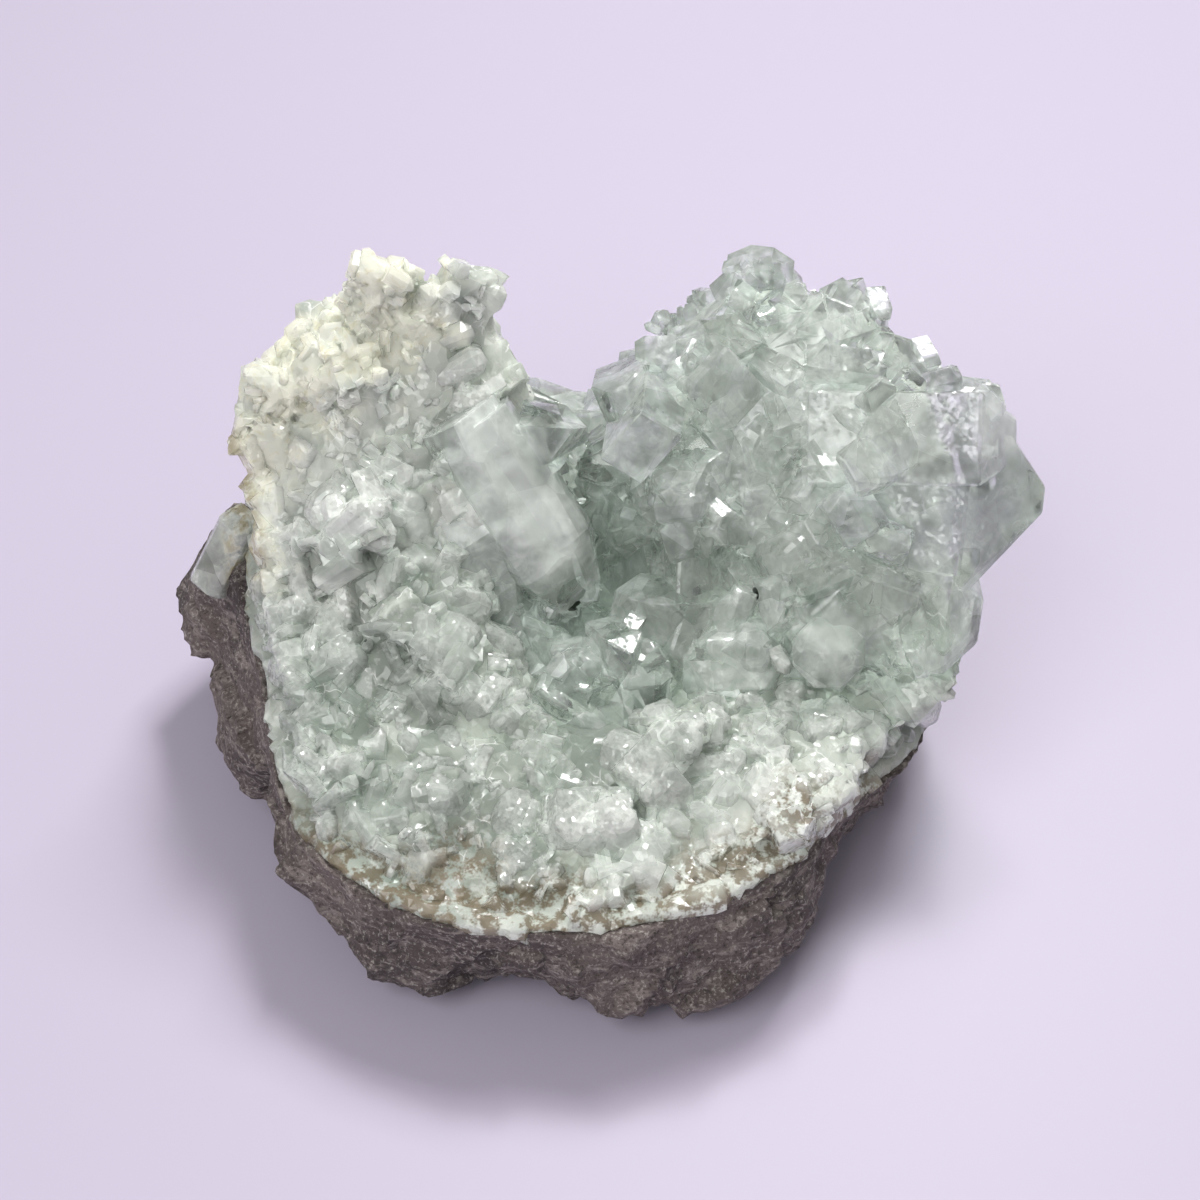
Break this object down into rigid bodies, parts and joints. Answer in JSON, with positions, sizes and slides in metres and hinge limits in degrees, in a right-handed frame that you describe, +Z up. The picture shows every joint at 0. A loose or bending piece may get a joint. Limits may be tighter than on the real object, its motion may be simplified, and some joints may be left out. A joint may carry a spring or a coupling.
{
  "type": "celestite geode",
  "caption": "Broken celestite geode: lumpy marl rind, thick milky crystal wall with two peaks, and a hollow lined with clear chisel-ended crystals.",
  "frame": {"origin": "on the surface that it rests on, under the middle of its bounding box", "axes": "+X to the right of the open side, towards the square-cornered block; +Y to the back; -Y to the low front rim; +Z up"},
  "size_m": [0.0808, 0.0676, 0.0502],
  "materials": {
    "marl": "matt, grainy, sandy grey-brown",
    "massive_celestite": "milky translucent, broken into small cleavage facets",
    "clear_celestite": "clear to cloudy, glassy crystal faces"
  },
  "bodies": {
    "root": {"matrix_rind": "marl", "celestite_wall": "massive_celestite", "crystal_crust": "clear_celestite"}
  },
  "joints": []
}
